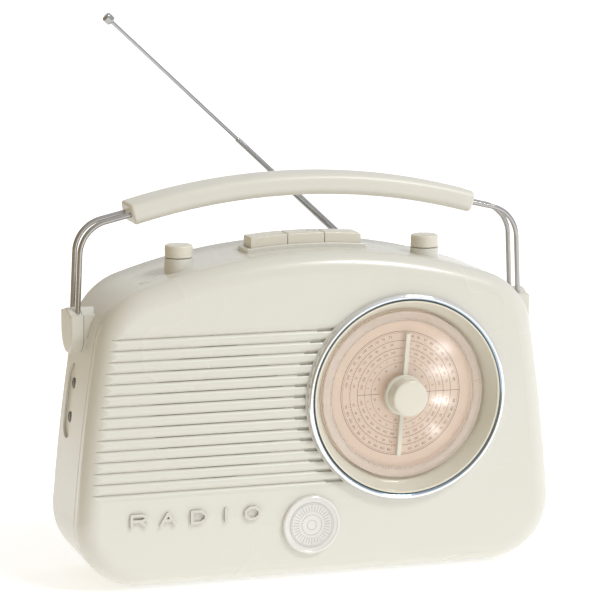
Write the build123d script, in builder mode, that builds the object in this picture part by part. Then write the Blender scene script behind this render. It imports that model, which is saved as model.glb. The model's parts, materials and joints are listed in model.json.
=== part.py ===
from build123d import *
from math import asin, atan2, cos, degrees, radians, sin, sqrt
import os

# A portable mains and battery radio with an arched case, a round tuning dial on the right,
# a reeded loudspeaker grille on the left, push keys and two knobs on top, a folding carrying
# handle and a telescopic aerial.  +X is the listener's right, -Y is the front, +Z is up, and
# the origin is on the table under the middle of the case.

# ---- driving dimensions, in millimetres ----
foot_h = 2.0
case_h = 190.9
case_d = 75.0
base_half, shoulder_x, side_r = 147.4, 128.3, 1245.0
arch_r = 329.0
base_corner_r = 36.4
top_corner_r = 39.5
front_roll_r = 11.7
back_edge_r = 3.3
wall = 2.6
front_wall = 5.0
front_shell_d = 17.5
seam_chamfer = 0.7

case_base = foot_h
case_top = case_base + case_h
front_y = -case_d / 2
back_y = case_d / 2
seam_y = front_y + front_shell_d
inner_front_y = front_y + front_wall
inner_back_y = back_y - wall
arch_centre_z = case_top - arch_r
shoulder_z = arch_centre_z + sqrt(arch_r**2 - shoulder_x**2)
side_chord = sqrt((base_half - shoulder_x) ** 2 + (shoulder_z - case_base) ** 2)
side_reach = sqrt(side_r**2 - (side_chord / 2) ** 2)
side_centre_x = (base_half + shoulder_x) / 2 - side_reach * (shoulder_z - case_base) / side_chord
side_centre_z = (case_base + shoulder_z) / 2 - side_reach * (base_half - shoulder_x) / side_chord

dial_x, dial_z = 50.9, 106.1
dial_ring_r = 61.2
dial_hole_r = 57.6

grille_first_z = 58.46
grille_pitch = 6.406
grille_valleys = 15
reed_depth = 2.3
speaker_x, speaker_z, speaker_r = -62.9, 103.2, 45.0

knob_y = -10.5
knob_r = 8.2
knob_low_z, knob_top_z = 190.4, 197.7
volume_x, tone_x = -79.5, 70.9
shaft_r = 3.0
fit_gap = 0.05

key_mid_x, key_y = -2.3, -2.4
key_w, key_gap, key_d = 22.1, 0.45, 15.0
key_proud, plinth_proud = 8.4, 2.4

pivot_y, pivot_z = 9.0, 147.2
boss_r, boss_t = 13.2, 7.4
boss_inner_x = 134.4
boss_top_z = 157.6
wire_r, wire_half_gap = 1.5, 6.75
grip_r, grip_mid_z = 385.0, 228.6
grip_half_len, grip_half_h, grip_half_d = 104.6, 6.3, 13.0

aerial_x, aerial_y, aerial_z = 85.7, 44.5, 145.1
aerial_angle = 137.1

dial_frame_y, dial_frame_r = -25.5, 54.5
lens_y, lens_r, lens_t, lens_flutes = -30.6, 49.8, 1.6, 90
pointer_r, pointer_t, pointer_tilt = 36.4, 2.6, 4.3
tuning_knob_l = 10.4
gear_r, gear_teeth, gear_y = 16.0, 32, -7.0

board_y, board_t, control_board_z = 3.0, 1.6, 146.6
bank_top_z, key_low_z = 168.0, 184.5
stem_r, stem_l, spring_turns = 2.5, 28.0, 6
plinth_w, plinth_d = 74.4, 18.6

bay_x, bay_z = -44.0, 38.5
cell_r, cell_l = 12.8, 49.0
door_w, door_h, door_r, door_t, seat_t = 112.0, 58.0, 4.0, 2.0, 1.5

inlet_x, inlet_z = 94.0, 62.0
inlet_w, inlet_h = 19.0, 11.0

side_recess_y, side_recess_z = 17.0, 104.0
side_recess_w, side_recess_h, side_recess_d = 18.0, 44.0, 4.0
socket_pitch, socket_r, jack_r = 20.0, 3.4, 1.8

screw_posts = [(-112, 26), (112, 26), (-104, 153), (102, 153)]
screw_r, screw_head_r, screw_seat_y = 1.5, 3.2, 6.0

pad_inner_x = 118.0
pin_r = 3.0
bush_r = 4.0
collar_low_z = 174.0
key_window_w, key_window_d = 68.4, 15.8
foot_r, foot_x, foot_mid_y, foot_spread = 6.0, 98.0, 10.5, 35.0


def across(y):
    """The upright plane across the case at this depth: it faces the front, and its axes are X and Z."""
    return Plane.XZ.offset(-y)


def level(z):
    return Plane.XY.offset(z)


def side_x(z):
    """Half width of the case at this height, on its bowed side."""
    return side_centre_x + sqrt(side_r**2 - (z - side_centre_z) ** 2)


def case_profile(inset=0.0):
    """Front outline of the case: flat base, bowed sides, arched top and round corners."""
    with BuildSketch() as profile:
        with Locations((0, arch_centre_z)):
            Circle(arch_r - inset)
        for side in (-1, 1):
            with Locations((side * side_centre_x, side_centre_z)):
                Circle(side_r - inset, mode=Mode.INTERSECT)
        with Locations((0, case_base + inset + case_h)):
            Rectangle(4 * base_half, 2 * case_h, mode=Mode.INTERSECT)
        fillet(profile.vertices().group_by(Axis.Y)[-1], top_corner_r - inset)
        fillet(profile.vertices().group_by(Axis.Y)[0], base_corner_r - inset)
    return profile.sketch


outline = case_profile()
inner_outline = case_profile(wall)
tongue_outline = case_profile(wall + 0.1)
tongue_inner = case_profile(wall + 1.5)

# ---- front shell ----
with BuildPart() as front_cavity:
    with BuildSketch(across(seam_y)):
        add(inner_outline)
    extrude(amount=inner_front_y * -1 + seam_y)
    fillet(front_cavity.faces().sort_by(Axis.Y)[0].edges(), front_roll_r - wall)

with BuildPart() as reed_cutter:
    reed_sink = 0.15
    half = grille_pitch / 2
    sag = reed_depth - reed_sink
    reed_r = (half**2 + sag**2) / (2 * sag)
    grille_mid_z = grille_first_z + grille_pitch * (grille_valleys - 1) / 2
    with BuildSketch(Plane.YZ.offset(-base_half)):
        with Locations((front_y + reed_depth / 2 - 1.05, grille_mid_z)):
            Rectangle(reed_depth + 2, grille_pitch * grille_valleys)
        for reed in range(grille_valleys + 1):
            with Locations((front_y + reed_sink + reed_r, grille_first_z + grille_pitch * (reed - 0.5))):
                Circle(reed_r, mode=Mode.SUBTRACT)
    extrude(amount=base_half + dial_x)
    with BuildSketch(across(front_y + 10)):
        with Locations((dial_x, dial_z)):
            Circle(dial_ring_r + 0.6)
    extrude(amount=20, mode=Mode.SUBTRACT)

with BuildPart() as front_shell:
    with BuildSketch(across(seam_y)):
        add(outline)
    extrude(amount=front_shell_d)
    fillet(front_shell.faces().sort_by(Axis.Y)[0].edges(), front_roll_r)
    chamfer(front_shell.faces().sort_by(Axis.Y)[-1].edges(), seam_chamfer)
    add(front_cavity.part, mode=Mode.SUBTRACT)
    add(reed_cutter.part, mode=Mode.SUBTRACT)
    # dark pockets where each groove runs in under the dial ring
    with BuildSketch(across(front_y + 3.0)):
        with Locations((dial_x - 50, grille_mid_z)):
            with GridLocations(1, grille_pitch, 1, grille_valleys):
                Rectangle(70, 2.0)
        with Locations((dial_x, dial_z)):
            Circle(dial_ring_r + 7.5, mode=Mode.INTERSECT)
            Circle(dial_ring_r + 0.6, mode=Mode.SUBTRACT)
    extrude(amount=5, mode=Mode.SUBTRACT)
    # sound slots along the valleys in front of the loudspeaker
    with BuildSketch(across(inner_front_y + 1)):
        with Locations((speaker_x, grille_mid_z)):
            with GridLocations(1, grille_pitch, 1, grille_valleys):
                Rectangle(2 * speaker_r, 0.3)
        with Locations((speaker_x, speaker_z)):
            Circle(speaker_r - 5, mode=Mode.INTERSECT)
    extrude(amount=8, mode=Mode.SUBTRACT)
    with BuildSketch(across(inner_front_y + 1)):
        with Locations((dial_x, dial_z)):
            Circle(dial_hole_r)
    extrude(amount=8, mode=Mode.SUBTRACT)
    # screw posts that the rear shell's screws bite into
    with BuildSketch(across(seam_y)):
        with Locations(*screw_posts):
            Circle(4.2)
    extrude(amount=front_shell_d - front_wall + 0.5)
    with BuildSketch(across(seam_y)):
        with Locations(*screw_posts):
            Circle(1.3)
    extrude(amount=front_shell_d - front_wall - 2, mode=Mode.SUBTRACT)

# ---- rear shell ----
side_face_x = side_x(side_recess_z)

with BuildPart() as rear_cavity:
    with BuildSketch(across(inner_back_y)):
        add(inner_outline)
    extrude(amount=inner_back_y - seam_y)
    fillet(rear_cavity.faces().sort_by(Axis.Y)[-1].edges(), back_edge_r - wall)

with BuildPart() as rear_shell:
    with BuildSketch(across(back_y)):
        add(outline)
    extrude(amount=back_y - seam_y)
    fillet(rear_shell.faces().sort_by(Axis.Y)[-1].edges(), back_edge_r)
    chamfer(rear_shell.faces().sort_by(Axis.Y)[0].edges(), seam_chamfer)
    add(rear_cavity.part, mode=Mode.SUBTRACT)
    # handle pads: shield-shaped flats that stand out of the bowed sides
    for side in (-1, 1):
        with BuildSketch(Plane.YZ.offset(side * pad_inner_x)):
            with Locations((pivot_y, pivot_z)):
                Circle(boss_r)
            with Locations((pivot_y, (pivot_z + boss_top_z) / 2)):
                Rectangle(2 * boss_r, boss_top_z - pivot_z)
        extrude(amount=side * (boss_inner_x - 0.3 - pad_inner_x))
        with BuildSketch(Plane.YZ.offset(side * pad_inner_x)):
            with Locations((pivot_y, pivot_z)):
                Circle(pin_r)
        extrude(amount=side * 20, mode=Mode.SUBTRACT)
    # collars under the two knobs, each bored for its potentiometer's bush
    with BuildSketch(level(collar_low_z)):
        with Locations((volume_x, knob_y), (tone_x, knob_y)):
            Circle(knob_r + 0.2)
    extrude(amount=knob_low_z - 0.4 - collar_low_z)
    with BuildSketch(level(collar_low_z - 5)):
        with Locations((volume_x, knob_y), (tone_x, knob_y)):
            Circle(bush_r)
    extrude(amount=30, mode=Mode.SUBTRACT)
    # window for the keys
    with BuildSketch(level(170)):
        with Locations((key_mid_x, key_y)):
            Rectangle(key_window_w, key_window_d)
    extrude(amount=30, mode=Mode.SUBTRACT)
    # oblong recess in the left side, with a backing that holds the socket panel
    with BuildSketch(Plane.YZ.offset(-side_face_x + 10)):
        with Locations((side_recess_y, side_recess_z)):
            Rectangle(side_recess_w + 4, side_recess_h + 4)
    extrude(amount=-6)
    with BuildSketch(Plane.YZ.offset(-side_face_x + side_recess_d + 1.5)):
        with Locations((side_recess_y, side_recess_z)):
            SlotOverall(side_recess_h, side_recess_w, rotation=90)
    extrude(amount=-20, mode=Mode.SUBTRACT)
    with BuildSketch(Plane.YZ.offset(-side_face_x - 5)):
        with Locations((side_recess_y, side_recess_z)):
            with GridLocations(1, socket_pitch, 1, 2):
                Circle(socket_r + 0.4)
    extrude(amount=20, mode=Mode.SUBTRACT)
    # screw posts with deep counterbores
    with BuildSketch(across(inner_back_y + 1)):
        with Locations(*screw_posts):
            Circle(5.2)
    extrude(amount=inner_back_y + 1 - seam_y)
    with BuildSketch(across(back_y + 1)):
        with Locations(*screw_posts):
            Circle(screw_head_r + 0.4)
    extrude(amount=back_y + 1 - screw_seat_y, mode=Mode.SUBTRACT)
    with BuildSketch(across(back_y + 1)):
        with Locations(*screw_posts):
            Circle(screw_r + 0.3)
    extrude(amount=case_d, mode=Mode.SUBTRACT)
    # battery opening with a seat for its door, mains inlet opening, vent slots and aerial stud hole
    with BuildSketch(across(inner_back_y + 0.5)):
        with Locations((bay_x, bay_z)):
            RectangleRounded(door_w + 6, door_h + 4, door_r)
    extrude(amount=0.5 + seat_t)
    with BuildSketch(across(back_y + 1)):
        with Locations((bay_x, bay_z)):
            RectangleRounded(door_w - 6, door_h - 6, door_r - 1)
    extrude(amount=10, mode=Mode.SUBTRACT)
    with BuildSketch(across(back_y + 1)):
        with Locations((bay_x, bay_z)):
            RectangleRounded(door_w + 0.8, door_h + 0.8, door_r + 0.4)
    extrude(amount=1 + door_t + 0.3, mode=Mode.SUBTRACT)
    with BuildSketch(across(back_y + 1)):
        with Locations((inlet_x, inlet_z)):
            RectangleRounded(inlet_w + 0.2, inlet_h + 0.2, inlet_h / 2 - 0.5)
        with Locations((speaker_x, speaker_z + 8)):
            with GridLocations(1, 5.0, 1, 9):
                SlotOverall(56, 2.2)
        with Locations((aerial_x, aerial_z)):
            Circle(3.0)
    extrude(amount=10, mode=Mode.SUBTRACT)
    # tongue that registers the front shell
    with BuildSketch(across(seam_y + 4)):
        add(tongue_outline)
        add(tongue_inner, mode=Mode.SUBTRACT)
    extrude(amount=7)
    # recesses for the feet
    with BuildSketch(level(case_base - 1)):
        with GridLocations(2 * foot_x, foot_spread, 2, 2):
            with Locations((0, foot_mid_y)):
                Circle(foot_r)
    extrude(amount=2, mode=Mode.SUBTRACT)

# ---- dial: bezel, trim ring, printed plate and frame, all fixed ----
dial_plane = Plane(origin=(dial_x, 0, dial_z))
dial_axis = Axis((dial_x, 0, dial_z), (0, 1, 0))

with BuildPart() as dial_ring:
    with BuildSketch(dial_plane) as ring_section:
        with Locations(((dial_hole_r + dial_ring_r) / 2 - 0.1, front_y - 2.05)):
            Rectangle(dial_ring_r - dial_hole_r, 4.1)
        fillet(ring_section.vertices().group_by(Axis.Y)[0], 1.5)
    revolve(axis=dial_axis)

with BuildPart() as dial_bezel:
    with BuildSketch(dial_plane):
        with BuildLine():
            Polyline(
                (57.3, front_y - 3.4),
                (57.3, inner_front_y + 0.1),
                (60.5, inner_front_y + 0.1),
                (60.5, inner_front_y + 2.1),
                (55.0, inner_front_y + 2.1),
                (53.6, inner_front_y + 3.6),
                (53.6, dial_frame_y),
                (lens_r + 0.4, dial_frame_y),
                (lens_r + 0.4, -28.8),
                (50.9, -29.4),
                (56.2, front_y - 3.4),
                close=True,
            )
        make_face()
    revolve(axis=dial_axis)

with BuildPart() as dial_plate:
    with BuildSketch(across(dial_frame_y - 0.1)):
        with Locations((dial_x, dial_z)):
            Circle(lens_r + 0.2)
            Circle(5.2, mode=Mode.SUBTRACT)
    extrude(amount=1.5)

frame_posts = [(dial_x + side * 40, dial_z + up * 22) for side in (-1, 1) for up in (-1, 1)]

with BuildPart() as dial_frame:
    with BuildSketch(across(dial_frame_y + 2.5)):
        with Locations((dial_x, dial_z)):
            Circle(dial_frame_r)
            Circle(5.0, mode=Mode.SUBTRACT)
            with PolarLocations(28, 6, 30):
                Circle(7, mode=Mode.SUBTRACT)
    extrude(amount=2.5)
    with BuildSketch(across(board_y)):
        with Locations(*frame_posts):
            Circle(3)
    extrude(amount=board_y - dial_frame_y - 1)

with BuildPart() as spindle_bush:
    with BuildSketch(across(dial_frame_y + 8)):
        with Locations((dial_x, dial_z)):
            Circle(5.0)
    extrude(amount=8)
    with BuildSketch(across(dial_frame_y + 3.8)):
        with Locations((dial_x, dial_z)):
            Circle(7.5)
    extrude(amount=1.2)
    with BuildSketch(across(0)):
        with Locations((dial_x, dial_z)):
            Circle(shaft_r + fit_gap)
    extrude(amount=40, mode=Mode.SUBTRACT)

# ---- dial: the pieces that turn with the tuning knob ----
with BuildPart() as dial_lens:
    with BuildSketch(dial_plane):
        with BuildLine():
            Polyline(
                (shaft_r, lens_y),
                (43.8, lens_y),
                (44.6, lens_y - 1.0),
                (lens_r - 0.6, lens_y - 1.4),
                (lens_r, lens_y - 0.9),
                (lens_r, lens_y + lens_t),
                (shaft_r, lens_y + lens_t),
                close=True,
            )
        make_face()
    revolve(axis=dial_axis)
    with BuildSketch(across(lens_y + 5)):
        with Locations((dial_x, dial_z)):
            with PolarLocations(lens_r + 0.25, lens_flutes):
                Circle(0.7)
    extrude(amount=12, mode=Mode.SUBTRACT)

with BuildPart() as dial_pointer:
    with BuildSketch(across(lens_y)):
        with Locations((dial_x, dial_z)):
            Circle(9.0)
            with Locations(Location((0, 0), 90 - pointer_tilt)):
                Rectangle(2 * pointer_r, 2.5)
            Circle(shaft_r, mode=Mode.SUBTRACT)
    extrude(amount=pointer_t)

knob_seat_y = lens_y - pointer_t

with BuildPart() as tuning_knob:
    with BuildSketch(across(knob_seat_y)):
        with Locations((dial_x, dial_z)):
            Circle(12.2)
    extrude(amount=2.2)
    fillet(tuning_knob.faces().sort_by(Axis.Y)[0].edges(), 0.8)
    with BuildSketch(across(knob_seat_y - 2)):
        with Locations((dial_x, dial_z)):
            Circle(10.7)
    extrude(amount=tuning_knob_l)
    fillet(tuning_knob.faces().sort_by(Axis.Y)[0].edges(), 1.4)
    with BuildSketch(across(knob_seat_y)):
        with Locations((dial_x, dial_z)):
            Circle(shaft_r)
    extrude(amount=tuning_knob_l - 3, mode=Mode.SUBTRACT)

with BuildPart() as dial_spindle:
    with BuildSketch(across(-3)):
        with Locations((dial_x, dial_z)):
            Circle(shaft_r)
    extrude(amount=-3 - knob_seat_y + tuning_knob_l - 3)


def gear_sketch(x, z, turn, bore):
    """A spur gear of module 1 with plain straight-sided teeth that leave running play."""
    with BuildSketch() as gear:
        with Locations((x, z)):
            Circle(gear_r - 1.2)
            with PolarLocations(gear_r - 1.4, gear_teeth, turn):
                Polygon((0, -0.95), (2.25, -0.34), (2.25, 0.34), (0, 0.95), align=None)
            Circle(bore, mode=Mode.SUBTRACT)
    return gear.sketch


with BuildPart() as dial_gear:
    with BuildSketch(across(gear_y)):
        add(gear_sketch(dial_x, dial_z, 0, shaft_r))
    extrude(amount=4)

capacitor_z = dial_z - 2 * gear_r

with BuildPart() as capacitor_rotor:
    with BuildSketch(across(gear_y)):
        add(gear_sketch(dial_x, capacitor_z, 180 / gear_teeth, 2.0))
    extrude(amount=4)
    with BuildSketch(across(-1)):
        with Locations((dial_x, capacitor_z)):
            Circle(2.5)
    extrude(amount=-1 - gear_y + 5)

with BuildPart() as tuning_capacitor:
    with BuildSketch(across(board_y)):
        with Locations((dial_x, capacitor_z)):
            Rectangle(24, 24)
    extrude(amount=board_y + 6.4)
    fillet(tuning_capacitor.edges().filter_by(Axis.Y), 1.5)
    with BuildSketch(across(-0.5)):
        with Locations((dial_x, capacitor_z)):
            Circle(2.5 + fit_gap)
    extrude(amount=20, mode=Mode.SUBTRACT)

# ---- electronics ----
with BuildPart() as circuit_board:
    with BuildSketch(across(board_y + board_t)):
        with Locations((50, 103)):
            Rectangle(100, 86)
    extrude(amount=board_t)

with BuildPart() as board_parts:
    with BuildSketch(across(board_y + board_t + 11)):
        with Locations((20, 92), (38, 120), (84, 84)):
            Rectangle(8, 8)
    extrude(amount=11)
    with BuildSketch(across(board_y + board_t + 13)):
        with Locations((14, 128), (28, 136), (84, 112), (66, 74)):
            Circle(4.5)
    extrude(amount=13)
    with BuildSketch(across(board_y + board_t + 3.5)):
        with Locations((52, 100), (56, 134)):
            Rectangle(22, 8)
    extrude(amount=3.5)

with BuildPart() as control_board:
    with BuildSketch(level(control_board_z)):
        with Locations(((volume_x + tone_x) / 2, -5)):
            Rectangle(tone_x - volume_x + 20, 28)
    extrude(amount=board_t)

with BuildPart() as ferrite_aerial:
    with BuildSketch(Plane.YZ.offset(-58)):
        with Locations((24, 166)):
            Circle(4.5)
    extrude(amount=96)
    with BuildSketch(Plane.YZ.offset(-44)):
        with Locations((24, 166)):
            Circle(6.0)
            Circle(4.5, mode=Mode.SUBTRACT)
    extrude(amount=20)

with BuildPart() as mains_transformer:
    with BuildSketch(level(case_base + wall)):
        with Locations((78, 6)):
            Rectangle(42, 18)
    extrude(amount=35)
    with BuildSketch(level(case_base + wall + 7)):
        with Locations((78, 6)):
            Rectangle(26, 30)
            Rectangle(42, 18, mode=Mode.SUBTRACT)
    extrude(amount=21)

with BuildPart() as mains_inlet:
    with BuildSketch(across(back_y + 1.5)):
        with Locations((inlet_x, inlet_z)):
            RectangleRounded(inlet_w + 5, inlet_h + 4, inlet_h / 2)
    extrude(amount=1.5)
    with BuildSketch(across(back_y)):
        with Locations((inlet_x, inlet_z)):
            RectangleRounded(inlet_w, inlet_h, inlet_h / 2 - 0.6)
    extrude(amount=15)
    with BuildSketch(across(back_y + 2)):
        with Locations((inlet_x, inlet_z)):
            SlotOverall(15, 7.6)
    extrude(amount=13, mode=Mode.SUBTRACT)
    with BuildSketch(across(back_y - 1)):
        with Locations((inlet_x, inlet_z)):
            with GridLocations(8.6, 1, 2, 1):
                Circle(1.2)
    extrude(amount=11)

# ---- loudspeaker ----
speaker_plane = Plane(origin=(speaker_x, 0, speaker_z))
speaker_axis = Axis((speaker_x, 0, speaker_z), (0, 1, 0))
cloth_t = 0.6
rim_y = inner_front_y + cloth_t

with BuildPart() as speaker_cloth:
    with BuildSketch(across(rim_y)):
        with Locations((speaker_x, speaker_z)):
            Circle(speaker_r)
    extrude(amount=cloth_t)

with BuildPart() as speaker_basket:
    with BuildSketch(speaker_plane):
        with BuildLine():
            Polyline(
                (speaker_r, rim_y),
                (speaker_r, rim_y + 1.2),
                (speaker_r - 4, rim_y + 1.2),
                (20, rim_y + 20),
                (6, rim_y + 20),
                (6, rim_y + 18.8),
                (19.4, rim_y + 18.8),
                (speaker_r - 5, rim_y),
                close=True,
            )
        make_face()
    revolve(axis=speaker_axis)

with BuildPart() as speaker_cone:
    with BuildSketch(speaker_plane):
        with BuildLine():
            Polyline(
                (speaker_r - 7.5, rim_y + 0.6),
                (9, rim_y + 13.0),
                (0, rim_y + 9.5),
                (0, rim_y + 10.1),
                (8.6, rim_y + 14.0),
                (speaker_r - 7.5, rim_y + 1.3),
                close=True,
            )
        make_face()
    revolve(axis=speaker_axis)

with BuildPart() as speaker_magnet:
    with BuildSketch(across(rim_y + 34)):
        with Locations((speaker_x, speaker_z)):
            Circle(26)
    extrude(amount=14)
    fillet(speaker_magnet.edges().filter_by(GeomType.CIRCLE), 1.2)

# ---- top controls ----
knobs = {}
shafts = {}
potentiometers = {}
for control, control_x in (("volume", volume_x), ("tone", tone_x)):
    with BuildPart() as knob:
        with BuildSketch(level(knob_low_z)):
            with Locations((control_x, knob_y)):
                Circle(knob_r)
        extrude(amount=knob_top_z - knob_low_z)
        fillet(knob.faces().sort_by(Axis.Z)[-1].edges(), 1.3)
        chamfer(knob.faces().sort_by(Axis.Z)[0].edges(), 0.3)
        with BuildSketch(level(knob_low_z - 1)):
            with Locations((control_x, knob_y)):
                Circle(shaft_r)
        extrude(amount=6, mode=Mode.SUBTRACT)
    knobs[control] = knob
    with BuildPart() as shaft:
        with BuildSketch(level(control_board_z + board_t + 3)):
            with Locations((control_x, knob_y)):
                Circle(shaft_r)
        extrude(amount=knob_low_z + 5 - control_board_z - board_t - 3)
    shafts[control] = shaft
    with BuildPart() as potentiometer:
        with BuildSketch(level(control_board_z + board_t)):
            with Locations((control_x, knob_y)):
                RectangleRounded(17, 17, 2)
        extrude(amount=10)
        with BuildSketch(level(control_board_z + board_t)):
            with Locations((control_x, knob_y)):
                Circle(bush_r)
        extrude(amount=knob_low_z - 2 - control_board_z - board_t)
        with BuildSketch(level(control_board_z + board_t + 2.5)):
            with Locations((control_x, knob_y)):
                Circle(shaft_r + fit_gap)
        extrude(amount=60, mode=Mode.SUBTRACT)
    potentiometers[control] = potentiometer

with BuildPart() as key_plinth:
    with BuildSketch(across(key_y + plinth_d / 2)):
        with Locations((0, arch_centre_z)):
            Circle(arch_r + plinth_proud)
            Circle(arch_r, mode=Mode.SUBTRACT)
        with Locations((key_mid_x, case_top)):
            Rectangle(plinth_w, 30, mode=Mode.INTERSECT)
    extrude(amount=plinth_d)
    fillet(key_plinth.edges().filter_by(Axis.Z), 2.0)
    fillet(key_plinth.faces().sort_by(Axis.Z)[-1].edges(), 0.7)
    with BuildSketch(level(170)):
        with Locations((key_mid_x, key_y)):
            Rectangle(key_window_w, key_window_d)
    extrude(amount=40, mode=Mode.SUBTRACT)

keys = {}
springs = {}
key_pitch = key_w + key_gap
for place, key_name in enumerate(("left", "centre", "right")):
    key_x = key_mid_x + (place - 1) * key_pitch
    with BuildPart() as key:
        with BuildSketch(across(key_y + key_d / 2)):
            with Locations((key_x, key_low_z + 15)):
                Rectangle(key_w, 30)
            with Locations((0, arch_centre_z)):
                Circle(arch_r + key_proud, mode=Mode.INTERSECT)
        extrude(amount=key_d)
        fillet(key.faces().sort_by(Axis.Z)[-1].edges(), 1.0)
        with BuildSketch(level(key_low_z - stem_l)):
            with Locations((key_x, key_y)):
                Circle(stem_r)
        extrude(amount=stem_l + 1)
    keys[key_name] = key
    with BuildPart() as spring:
        with BuildLine():
            Helix(
                pitch=(key_low_z - bank_top_z - 1.0) / spring_turns,
                height=key_low_z - bank_top_z - 1.0,
                radius=4.2,
                center=(key_x, key_y, bank_top_z + 0.5),
            )
        with BuildSketch(Plane(origin=(key_x + 4.2, key_y, bank_top_z + 0.5), z_dir=(0, 1, 0))):
            Circle(0.35)
        sweep(is_frenet=True)
    springs[key_name] = spring

with BuildPart() as key_switch_bank:
    with BuildSketch(level(control_board_z + board_t)):
        with Locations((key_mid_x, key_y)):
            Rectangle(key_window_w, 13)
    extrude(amount=bank_top_z - control_board_z - board_t)
    with BuildSketch(level(control_board_z + board_t + 2)):
        with Locations((key_mid_x, key_y)):
            with GridLocations(key_pitch, 1, 3, 1):
                Circle(stem_r + 0.3)
    extrude(amount=40, mode=Mode.SUBTRACT)

# ---- battery bay ----
tray_w, tray_h, tray_wall = 109.0, 55.4, 1.6
tray_front_y = 6.0
tray_back_y = inner_back_y - seat_t - 0.1
cell_y = tray_front_y + tray_wall + cell_r + 0.2
cell_row = cell_r + 0.2

with BuildPart() as battery_tray:
    with BuildSketch(across(tray_back_y)):
        with Locations((bay_x, bay_z)):
            Rectangle(tray_w, tray_h)
    extrude(amount=tray_back_y - tray_front_y)
    with BuildSketch(across(tray_back_y + 1)):
        with Locations((bay_x, bay_z)):
            Rectangle(tray_w - 2 * tray_wall, tray_h - 2 * tray_wall)
    extrude(amount=tray_back_y + 1 - tray_front_y - tray_wall, mode=Mode.SUBTRACT)

with BuildPart() as battery_cells:
    for row in (-1, 1):
        for place in (-1, 1):
            start = bay_x + place * cell_l / 2 - row * cell_l / 2
            with BuildSketch(Plane.YZ.offset(start)):
                with Locations((cell_y, bay_z + row * cell_row)):
                    Circle(cell_r)
            extrude(amount=row * (cell_l - 1.6))
            with BuildSketch(Plane.YZ.offset(start)):
                with Locations((cell_y, bay_z + row * cell_row)):
                    Circle(3)
            extrude(amount=row * (cell_l - 0.1))

with BuildPart() as battery_contacts:
    for side in (-1, 1):
        with BuildSketch(Plane.YZ.offset(bay_x + side * (tray_w / 2 - tray_wall))):
            with Locations((cell_y, bay_z - cell_row), (cell_y, bay_z + cell_row)):
                Rectangle(14, 14)
        extrude(amount=-side * 0.6)

with BuildPart() as battery_door:
    with BuildSketch(across(back_y)):
        with Locations((bay_x, bay_z)):
            RectangleRounded(door_w, door_h, door_r)
    extrude(amount=door_t)
    fillet(battery_door.edges().filter_by(Axis.X).group_by(Axis.Z)[0], door_t / 2 - 0.05)
    # thumb hollow and grip ridges near the latch edge
    with BuildSketch(across(back_y + 1)):
        with Locations((bay_x, bay_z + door_h / 2 - 12)):
            SlotOverall(22, 9)
    extrude(amount=1.8, mode=Mode.SUBTRACT)
    with BuildSketch(across(back_y)):
        with Locations((bay_x, bay_z + door_h / 2 - 12)):
            with GridLocations(1, 2.2, 1, 3):
                Rectangle(16, 0.8)
    extrude(amount=1.4)

# ---- sockets in the left side ----
panel_x = -side_face_x + side_recess_d

with BuildPart() as socket_panel:
    with BuildSketch(Plane.YZ.offset(panel_x)):
        with Locations((side_recess_y, side_recess_z)):
            SlotOverall(side_recess_h - 0.3, side_recess_w - 0.3, rotation=90)
            with GridLocations(1, socket_pitch, 1, 2):
                Circle(socket_r, mode=Mode.SUBTRACT)
    extrude(amount=1.5)

with BuildPart() as sockets:
    with BuildSketch(Plane.YZ.offset(panel_x - 0.8)):
        with Locations((side_recess_y, side_recess_z)):
            with GridLocations(1, socket_pitch, 1, 2):
                Circle(socket_r)
    extrude(amount=13)
    with BuildSketch(Plane.YZ.offset(panel_x - 1)):
        with Locations((side_recess_y, side_recess_z)):
            with GridLocations(1, socket_pitch, 1, 2):
                Circle(jack_r)
    extrude(amount=12, mode=Mode.SUBTRACT)

# ---- carrying handle ----
grip_centre_z = grip_mid_z - grip_r
wire_leg_x = 136.8
wire_corner = (134.0, 207.0)
wire_end = (85.0, 218.5)
wire_bend_r = 20.0

with BuildPart() as handle_wires:
    for side in (-1, 1):
        for depth in (-1, 1):
            wire_y = pivot_y + depth * wire_half_gap
            with BuildLine():
                FilletPolyline(
                    (side * wire_leg_x, wire_y, pivot_z - 2),
                    (side * wire_corner[0], wire_y, wire_corner[1]),
                    (side * wire_end[0], wire_y, wire_end[1]),
                    radius=wire_bend_r,
                )
            with BuildSketch(Plane(origin=(side * wire_leg_x, wire_y, pivot_z - 2))):
                Circle(wire_r)
            sweep()

grip_angle = degrees(asin(grip_half_len / grip_r))


def grip_half(side):
    """One moulded half of the grip: side is 1 for the upper shell, -1 for the lower."""
    inner_r = grip_r if side > 0 else grip_r - grip_half_h
    outer_r = grip_r + grip_half_h if side > 0 else grip_r
    with BuildPart() as half_grip:
        with BuildSketch(across(pivot_y + grip_half_d)):
            with BuildLine():
                CenterArc((0, grip_centre_z), outer_r, 90 - grip_angle, 2 * grip_angle)
                CenterArc((0, grip_centre_z), inner_r, 90 - grip_angle, 2 * grip_angle)
                for end in (-1, 1):
                    lean = radians(grip_angle * end)
                    Line(
                        (inner_r * sin(lean), grip_centre_z + inner_r * cos(lean)),
                        (outer_r * sin(lean), grip_centre_z + outer_r * cos(lean)),
                    )
            make_face()
        extrude(amount=2 * grip_half_d)
        rim = half_grip.faces().filter_by(GeomType.CYLINDER).sort_by(SortBy.AREA)[-2:].sort_by(Axis.Z)
        fillet((rim[-1] if side > 0 else rim[0]).edges().filter_by(GeomType.CIRCLE), 4.6)
        for end in (0, -1):
            outline_edges = half_grip.faces().sort_by(Axis.X)[end].edges().sort_by(Axis.Z)
            fillet(outline_edges[1:] if side > 0 else outline_edges[:-1], 1.8)
        add(handle_wires.part, mode=Mode.SUBTRACT)
    return half_grip


grip_upper = grip_half(1)
grip_lower = grip_half(-1)

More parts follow.
